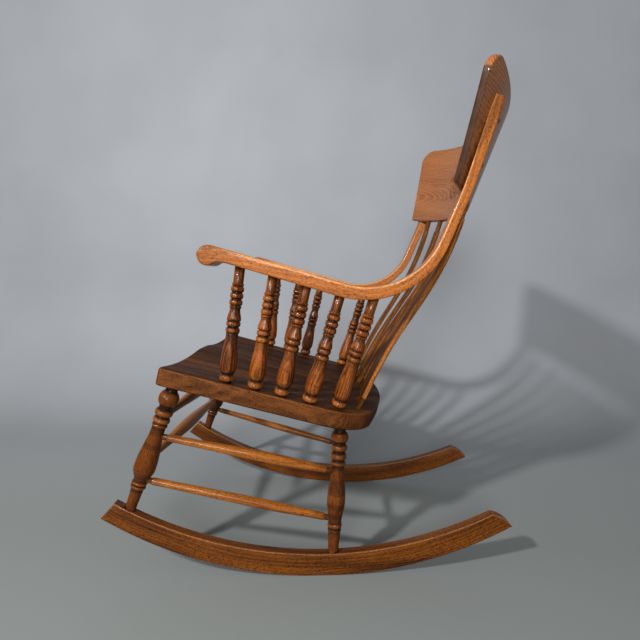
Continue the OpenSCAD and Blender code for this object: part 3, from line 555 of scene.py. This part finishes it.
# Round the top edge the sides' tint fades in, and its middle gets the rubbed edge with its painted
# highlight line
for turn in np.radians(range(15, 91, 15)):
    loops.append(seat_loop(top_r * (1 - math.sin(turn)), drop=top_r * (1 - math.cos(turn))))
    edge_marks.append(max(side_tint * math.sin(turn), corner_rub_and_highlight * math.sin(2 * turn) ** 3))
for height in (side_height, -seat_t + low_r):
    loops.append(seat_loop(0, height=height))
    edge_marks.append(side_tint)
for turn in np.radians(range(30, 91, 30)):
    inward, height = low_r * (1 - math.cos(turn)), -seat_t + low_r * (1 - math.sin(turn))
    loops.append(seat_loop(inward, height=height))
    edge_marks.append(0.0)
piece = extruded("seat_board", loops)
edge_marks = np.repeat(edge_marks, outline_points)
write(piece, "edge", edge_marks)
spots = points(piece) - seat_corner
board = np.floor((spots[:, 0] - board_left) / board_w)
across, behind = spots[:, 0] + board * board_aside, spots @ seat_back + board * board_behind
write(piece, "grain", np.stack([across, spots @ seat_up, behind], 1))
stains = board_stain[board.astype(int).clip(0, len(board_stain) - 1)]
on_side = edge_marks > 0.3
# Painted shade: the sides darken towards the back
backwards = ((spots @ seat_back - rear_shade_start) / rear_shade_fade).clip(0, 1)
write(piece, "stain_and_shade", np.maximum(stains, backwards * on_side * rear_shade))
finished(piece, seat_oak, "seat", smooth=50)

# Crest rail
# A wide oak board, steamed to an arc; a rosette and leafy scrolls are pressed into its front face.
# It takes the slats' round pins below and is screwed to both posts.
crest_r, crest_t, crest_d, crest_corner = 0.5189, 0.0145, 0.214, 0.033
crest_oak = oak("crest_oak", light=(0.44, 0.170, 0.058), dark=(0.17, 0.052, 0.014),
                wear_and_highlight=(0.50, 0.23, 0.09), gloss=0.30, coat=0.2, streak=0.3,
                pith=(0.045, 0.070, 0.12), bend=0.519)
# Half widths of the rail at its lower and upper edge, and how far its middle bows backwards
low_half_w, high_half_w, crest_bow = 0.262, 0.318, 0.071
crest_low, crest_high = math.asin(low_half_w / crest_r), math.asin(high_half_w / crest_r)
crest_foot = np.array([0, 0.265, 0.788])
lean = math.radians(20.8)
crest_back = np.array([0, math.cos(lean), -math.sin(lean)])
crest_up = np.array([0, math.sin(lean), math.cos(lean)])
crest_cy = crest_bow - crest_r
# The ends are sawn square at the middle of their flare, and each upper corner is rounded
end_turn = (crest_low + crest_high) / 2
low_x, corner_x = (crest_r * math.sin(a - end_turn) for a in (crest_low, crest_high))
flare = math.atan2(corner_x - low_x, crest_d)
corner_x_in = crest_corner * (1 + math.sin(flare)) / math.cos(flare)
corner_middle = np.array([corner_x - corner_x_in, crest_d - crest_corner])
# The ornament's middle height and the sizes of its ridges, and how it is pressed and stained
ornament_up, rosette_r, petals = 0.112, 0.009, 10
boss_r, petal_l, petal_half_w, leaf_half_w = 0.0085, 0.019, 0.0036, 0.0032
press_depth, press_fade, stain_from = 0.0017, 0.0075, 0.0003
# The end grain takes more stain and is painted darker still, as shade
press_stain, end_stain_and_shade = 0.58, 0.88
rim_r, first_row, middle_rows = 0.0038, 0.0046, 118


def crest_end(w, t=0.0):
    """Angle of the rail's flared end at a height, sawn square to the bend."""
    return end_turn + np.arcsin((low_x + (corner_x - low_x) * w / crest_d) / (crest_r + t))


def crest_top(u):
    """Height of the upper edge at a share of the half length, with the rounded corner."""
    w = np.linspace(crest_d - 1.5 * crest_corner, crest_d, 400)
    off = np.stack([crest_r * np.sin(abs(u) * crest_end(w) - end_turn), w], 1) - corner_middle
    before = (off[:, 0] < 0) | (off @ [math.sin(flare), math.cos(flare)] < 0)
    return w[before | (np.hypot(*off.T) <= crest_corner)].max()


def spiral(x, y, r0, r1, start, turns, flip):
    """Points of a scroll that winds from its outside to its eye."""
    t = np.linspace(0, 1, 90)
    angle = start + turns * 2 * math.pi * t
    r = r0 + (r1 - r0) * t**0.8
    return np.stack([x + flip * r * np.cos(angle), y + r * np.sin(angle)], 1)


def leaf(x, y, length, angle, bow):
    """Points of a bowed leaf that grows from a place at an angle."""
    t = np.linspace(0, 1, 30)
    ahead, aside = length * t, bow * np.sin(math.pi * t)
    c, s = math.cos(angle), math.sin(angle)
    return np.stack([x + ahead * c - aside * s, y + ahead * s + aside * c], 1)


def ridge_lines():
    """Middle lines of the pressed ornament's ridges, with their half widths, in metres."""
    lines = []
    for flip in (-1, 1):
        lines.append((spiral(flip * 0.096, 0.084, 0.029, 0.004, 2.3, -1.7, flip), 0.0040))
        lines.append((spiral(flip * 0.060, 0.146, 0.022, 0.004, -2.5, 1.5, flip), 0.0036))
        # Each leaf's foot, length, direction and bow
        for x, y, length, angle, bow in (
            (0.082, 0.120, 0.046, 0.42, 0.009), (0.088, 0.132, 0.036, 0.95, 0.007),
            (0.108, 0.112, 0.032, 0.05, 0.006), (0.028, 0.098, 0.046, -0.62, -0.008),
            (0.022, 0.088, 0.036, -1.05, -0.006), (0.014, 0.146, 0.034, 1.25, -0.006),
        ):
            lines.append((leaf(x, y, length, angle, bow) * [flip, 1], leaf_half_w))
    for angle in np.arange(petals) * 2 * math.pi / petals:
        x, y = rosette_r * math.cos(angle), ornament_up + rosette_r * math.sin(angle)
        lines.append((leaf(x, y, petal_l, angle, 0.0), petal_half_w))
    return lines


ridges = ridge_lines()


def pressed(across, up):
    """How far the pressed front face lies below the board's face at each place."""
    height, near = np.zeros_like(across), np.zeros_like(across)
    for line, half in ridges:
        room = half + 0.009
        box = ((across > line[:, 0].min() - room) & (across < line[:, 0].max() + room)
               & (up > line[:, 1].min() - room) & (up < line[:, 1].max() + room))
        if not box.any():
            continue
        here = np.stack([across[box], up[box]], 1)
        gap = np.sqrt(((here[:, None, :] - line[None]) ** 2).sum(2)).min(1)
        height[box] = np.maximum(height[box], np.cos((gap / half).clip(0, 1) * math.pi / 2))
        near[box] = np.maximum(near[box], 1 - ((gap - half) / press_fade).clip(0, 1) ** 1.5)
    boss = np.hypot(across, up - ornament_up) / boss_r
    height = np.maximum(height, np.cos(boss.clip(0, 1) * math.pi / 2))
    return press_depth * near * (1 - height)


# Stations are shares of the half length and rows are heights, close together towards the rim
rim_stations = np.array([1, 0.9985, 0.996, 0.992])
stations = np.concatenate([-rim_stations, np.linspace(-0.987, 0.987, 330), rim_stations[::-1]])
rim_rows = np.array([0, 0.0006, 0.0016, 0.003])
front_rows = np.concatenate([rim_rows, np.linspace(first_row, crest_d - first_row, middle_rows),
                             crest_d - rim_rows[::-1]]) / crest_d
back_rows = front_rows[np.r_[0:4, 4:4 + middle_rows:6, 3 + middle_rows:8 + middle_rows]][::-1]
loops, pressing = [], []
for u in stations:
    top = crest_top(u)
    for rows, is_front in ((front_rows, True), (back_rows, False)):
        w = rows * top
        inset = np.minimum(np.minimum(w, top - w), (1 - abs(u)) * crest_r * crest_high)
        fall = rim_r - np.sqrt(rim_r**2 - (rim_r - inset.clip(0, rim_r)) ** 2)
        press = pressed(u * crest_end(w) * crest_r, w) if is_front else np.zeros_like(w)
        t = fall + press if is_front else crest_t - fall
        angle = u * crest_end(w, t)
        loops.append(crest_foot + np.outer((crest_r + t) * np.sin(angle), [1, 0, 0])
                     + np.outer(crest_cy + (crest_r + t) * np.cos(angle), crest_back)
                     + np.outer(w, crest_up))
        pressing.append(press)
loops = np.concatenate(loops).reshape(len(stations), -1, 3)
piece = extruded("crest_board", loops)
stain = ((np.concatenate(pressing) - stain_from) / (press_depth - stain_from)).clip(0, 1)
# The end faces are stained dark and painted darker still, as shade
end_grain = np.repeat(np.abs(stations) > 0.995, loops.shape[1])
write(piece, "stain_and_shade", np.maximum(stain * press_stain, end_grain * end_stain_and_shade))
spots = points(piece) - crest_foot
outwards = spots @ crest_back - crest_cy
write(piece, "grain", np.stack([outwards, spots @ crest_up, spots[:, 0]], 1))
finished(piece, crest_oak, "crest_rail", smooth=60)

# Arms
# Each arm and its back post are one strip of oak, steamed and bent: an arm rest with a round nose
# that runs back, turns up into the post and is screwed to the crest. Hands have worn its upper corners,
# which are also painted with a highlight line, and it is painted darker towards the nose, as shade.
arm_oak = oak("arm_oak", light=(0.52, 0.160, 0.021), dark=(0.17, 0.041, 0.005),
              wear_and_highlight=(0.86, 0.42, 0.15), gloss=0.30, coat=0.15, streak=0.25, lines=0.3)
# Middle of the left arm and post, from the nose to the top: across, back and up, in metres
arm_points = np.array([
    (0.2415, -0.2094, 0.6605), (0.2415, -0.190, 0.6575), (0.242, -0.160, 0.6565),
    (0.243, -0.120, 0.6452), (0.2445, -0.050, 0.6249), (0.246, 0.010, 0.6076),
    (0.2472, 0.0677, 0.5909), (0.2476, 0.1109, 0.5848), (0.248, 0.1511, 0.5901),
    (0.2484, 0.1886, 0.6056), (0.2487, 0.2208, 0.6303), (0.249, 0.2455, 0.6626),
    (0.2495, 0.2547, 0.6813), (0.2515, 0.2715, 0.722), (0.253, 0.289, 0.765),
    (0.2545, 0.3075, 0.820), (0.2555, 0.3283, 0.880), (0.2565, 0.3455, 0.934),
])
# How the CAD arm is read, and how far its nose, its rubbed and highlighted corners and the painted
# shade towards its nose reach
section_step, section_angle, section_points, outside = 0.004, 3, 72, 0.06
bore_sections, top_fade = 4, 0.008
nose_l, nose_fade = 0.16, 0.12
arm_rub_and_highlight, rub_and_highlight_start, rub_and_highlight_fade, corner_cut = 0.8, 0.03, 0.05, 0.0016
nose_shade_l, nose_shade_share = 0.11, 0.36


def smooth_path(keys, step):
    """Evenly spaced points of a smooth line through the given points, and their run along it."""
    steps = np.concatenate([[0], np.cumsum(np.linalg.norm(np.diff(keys, axis=0), axis=1))])
    run = np.linspace(0, steps[-1], int(steps[-1] / step))
    slopes = np.gradient(keys, steps, axis=0)
    i = np.clip(np.searchsorted(steps, run) - 1, 0, len(keys) - 2)
    h = (steps[i + 1] - steps[i])[:, None]
    t = ((run - steps[i]) / h[:, 0])[:, None]
    return ((2 * t**3 - 3 * t**2 + 1) * keys[i] + (t**3 - 2 * t**2 + t) * h * slopes[i]
            + (3 * t**2 - 2 * t**3) * keys[i + 1] + (t**3 - t**2) * h * slopes[i + 1]), run


def section_reach(surface, centre, ways):
    """Distance from the centre to the CAD surface, measured inwards from outside."""
    reach = []
    for way in ways:
        hit = surface.ray_cast(Vector(centre + way * outside), Vector(-way), outside)
        reach.append(0.0 if hit[0] is None else outside - hit[3])
    return reach


def over_bores(reads, reach):
    """Takes the largest, then the smallest of neighbouring sections, which closes the bores."""
    rows = np.pad(reads, ((2 * reach, 2 * reach), (0, 0)), mode="edge")
    for pick in (np.max, np.min):
        spans = range(reach, len(rows) - reach)
        rows = np.array([pick(rows[k - reach:k + reach + 1], axis=0) for k in spans])
    return rows


def even_ring(ring, count):
    """The same closed line with evenly spaced points."""
    closed = np.vstack([ring, ring[:1]])
    run = np.concatenate([[0], np.cumsum(np.linalg.norm(np.diff(closed, axis=0), axis=1))])
    at = np.linspace(0, run[-1], count, endpoint=False)
    return np.stack([np.interp(at, run, closed[:, k]) for k in range(2)], 1)


def rounded(ring, times):
    """A ring whose corners have been taken off so many times."""
    for _ in range(times):
        ring = (np.roll(ring, 1, 0) + ring * 2 + np.roll(ring, -1, 0)) / 4
    return ring


def arm_loops():
    """Sections of the left arm, read off the CAD arm and rounded like shaped wood after long use, with
    upper corners that are rubbed and painted with a highlight line.
    """
    piece = carried("arm_left", "_reading")
    surface = BVHTree.FromObject(piece, bpy.context.evaluated_depsgraph_get())
    bpy.data.objects.remove(piece)
    line, run = smooth_path(arm_points, section_step)
    ahead = np.gradient(line, axis=0)
    ahead[:, 0] = 0
    ahead /= np.linalg.norm(ahead, axis=1)[:, None]
    upwards = np.cross([1, 0, 0], ahead)
    turns = np.radians(np.arange(0, 360, section_angle))
    flat_ways = np.stack([np.cos(turns), np.sin(turns)], 1)
    reads = [section_reach(surface, centre, flat_ways @ [[1, 0, 0], upward])
             for centre, upward in zip(line, upwards)]
    loops, places, corners = [], [], []
    for centre, upward, reach, at in zip(line, upwards, over_bores(reads, bore_sections), run):
        ring = even_ring(flat_ways * reach[:, None], section_points)
        above = (ring[:, 1] / top_fade).clip(0, 1)
        # Upper corners are rubbed and painted with a highlight line, from a little behind the nose
        off_corner = np.linalg.norm(rounded(ring, 9) - ring, axis=1) / corner_cut - 0.2
        corners.append(off_corner.clip(0, 1) * above * np.clip((at - rub_and_highlight_start) / rub_and_highlight_fade, 0, 1))
        round_nose = above[:, None] * np.clip((nose_l - at) / nose_fade, 0, 1)
        ring = rounded(ring, 1) + (rounded(ring, 7) - rounded(ring, 1)) * round_nose
        loops.append(centre + ring @ [[1, 0, 0], upward])
        places.append(np.column_stack([ring, np.full(len(ring), at)]))
    return np.array(loops), np.concatenate(places), np.concatenate(corners)


loops, arm_places, arm_corners = arm_loops()
for side, sign in sides.items():
    piece = extruded(f"arm_{side}_bent", loops * [sign, 1, 1])
    write(piece, "grain", arm_places * [sign, 1, 1] + next_shift())
    write(piece, "edge", arm_corners * arm_rub_and_highlight)
    # Painted shade: darker towards the nose, and a little darker all along
    write(piece, "stain_and_shade", (1 - arm_places[:, 2] / nose_shade_l).clip(0.1, 1) * nose_shade_share)
    finished(piece, arm_oak, "arm_" + side, smooth=60)

# Crest screws
# Four round headed steel screws, driven from behind through the posts into the crest rail.
# Their heads have dulled.
steel = bpy.data.materials.new("screw_steel")
tree = cleared(steel)
where = add(tree, "TexCoord", {}, {}, "Object")
grime = add(tree, "TexNoise", {}, {"Vector": where, "Scale": 900.0, "Detail": 3.0}, 0)
bright, dull = (0.20, 0.19, 0.18), (0.07, 0.055, 0.045)
close_material(tree, Base_Color=blend_colours(tree, grime.step(0.3, 0.7), bright, dull),
               Roughness=0.35 + grime * 0.3, Metallic=1.0)
finished(carried("crest_screws", "_heads"), steel, "crest_screws")

# Floor, light and camera
# A sheet of grey paper lies on the floor and curves up behind the chair.
# A small lamp draws the shadows, and a wide one fills the front.
deselect()
bpy.ops.mesh.primitive_grid_add(x_subdivisions=60, y_subdivisions=4, size=2)
floor = bpy.context.object
floor.name = "paper_sweep"
paper_front, paper_l, paper_half_w = 2.6, 7.5, 5
sweep_start, sweep_r = -0.62, 0.55
for vertex in floor.data.vertices:
    run = paper_front - (vertex.co.x + 1) / 2 * paper_l
    past = max(sweep_start - run, 0)
    turn = min(past / sweep_r, math.pi / 2)
    vertex.co = Vector((max(run, sweep_start) - sweep_r * math.sin(turn),
                        vertex.co.y * paper_half_w,
                        sweep_r * (1 - math.cos(turn)) + max(past - turn * sweep_r, 0)))
active(floor)
bpy.ops.object.shade_smooth()
paper = bpy.data.materials.new("grey_paper")
tree = cleared(paper)
wall_light, wall_dark = (0.315, 0.338, 0.375), (0.285, 0.303, 0.338)
floor_grey = (0.185, 0.205, 0.205)
where = add(tree, "TexCoord", {}, {}, "Object")
cloud = add(tree, "TexNoise", {}, {"Vector": where, "Scale": 2.2, "Detail": 3.0}, 0)
near = add(tree, "SeparateXYZ", {}, {0: where}, "X").step(-1.2, 0.1)
wall = blend_colours(tree, cloud.step(0.3, 0.7), wall_light, wall_dark)
close_material(tree, Base_Color=blend_colours(tree, near, wall, floor_grey),
               Roughness=0.6 + cloud * 0.1)
floor.data.materials.append(paper)

chair_middle = Vector((0, 0, 0.5))


def lamp(name, place, size, power, colour):
    """A round lamp that is aimed at the middle of the chair."""
    data = bpy.data.lights.new(name, "AREA")
    data.shape, data.size = "DISK", size
    data.energy, data.color = power, colour
    light = bpy.data.objects.new(name, data)
    bpy.context.collection.objects.link(light)
    light.location = place
    light.rotation_euler = (chair_middle - Vector(place)).to_track_quat("-Z", "Y").to_euler()


lamp("key", (2.1, -1.5, 2.1), size=0.2, power=85, colour=(1.0, 0.97, 0.93))
lamp("front", (3.2, -0.3, 1.4), size=1.0, power=76, colour=(1.0, 0.98, 0.95))

room_light, seen_in_gloss, seen_by_camera = (1.0, 0.97, 0.93), (0.17, 0.17, 0.18), (0.90, 0.92, 0.97)
world = bpy.data.worlds.new("room")
bpy.context.scene.world = world
tree = cleared(world)
in_gloss, by_camera = add(tree, "LightPath", {}, {}, "Is Glossy Ray", "Is Camera Ray")
lit = blend_colours(tree, in_gloss, room_light, seen_in_gloss)
lit = blend_colours(tree, by_camera, lit, seen_by_camera)
background = add(tree, "Background", {}, {"Color": lit, "Strength": 0.4}, 0)
add(tree, "OutputWorld", {}, {"Surface": background})

camera_place, camera_ahead = (1.110, 0.076, 0.612), (-0.9941, -0.0606, -0.0903)
camera_data = bpy.data.cameras.new("camera")
camera_data.lens, camera_data.sensor_width = 25.3, 36
camera = bpy.data.objects.new("camera", camera_data)
bpy.context.collection.objects.link(camera)
camera.location = camera_place
camera.rotation_euler = Vector(camera_ahead).to_track_quat("-Z", "Y").to_euler()
scene = bpy.context.scene
scene.camera = camera
scene.view_settings.view_transform = "Standard"
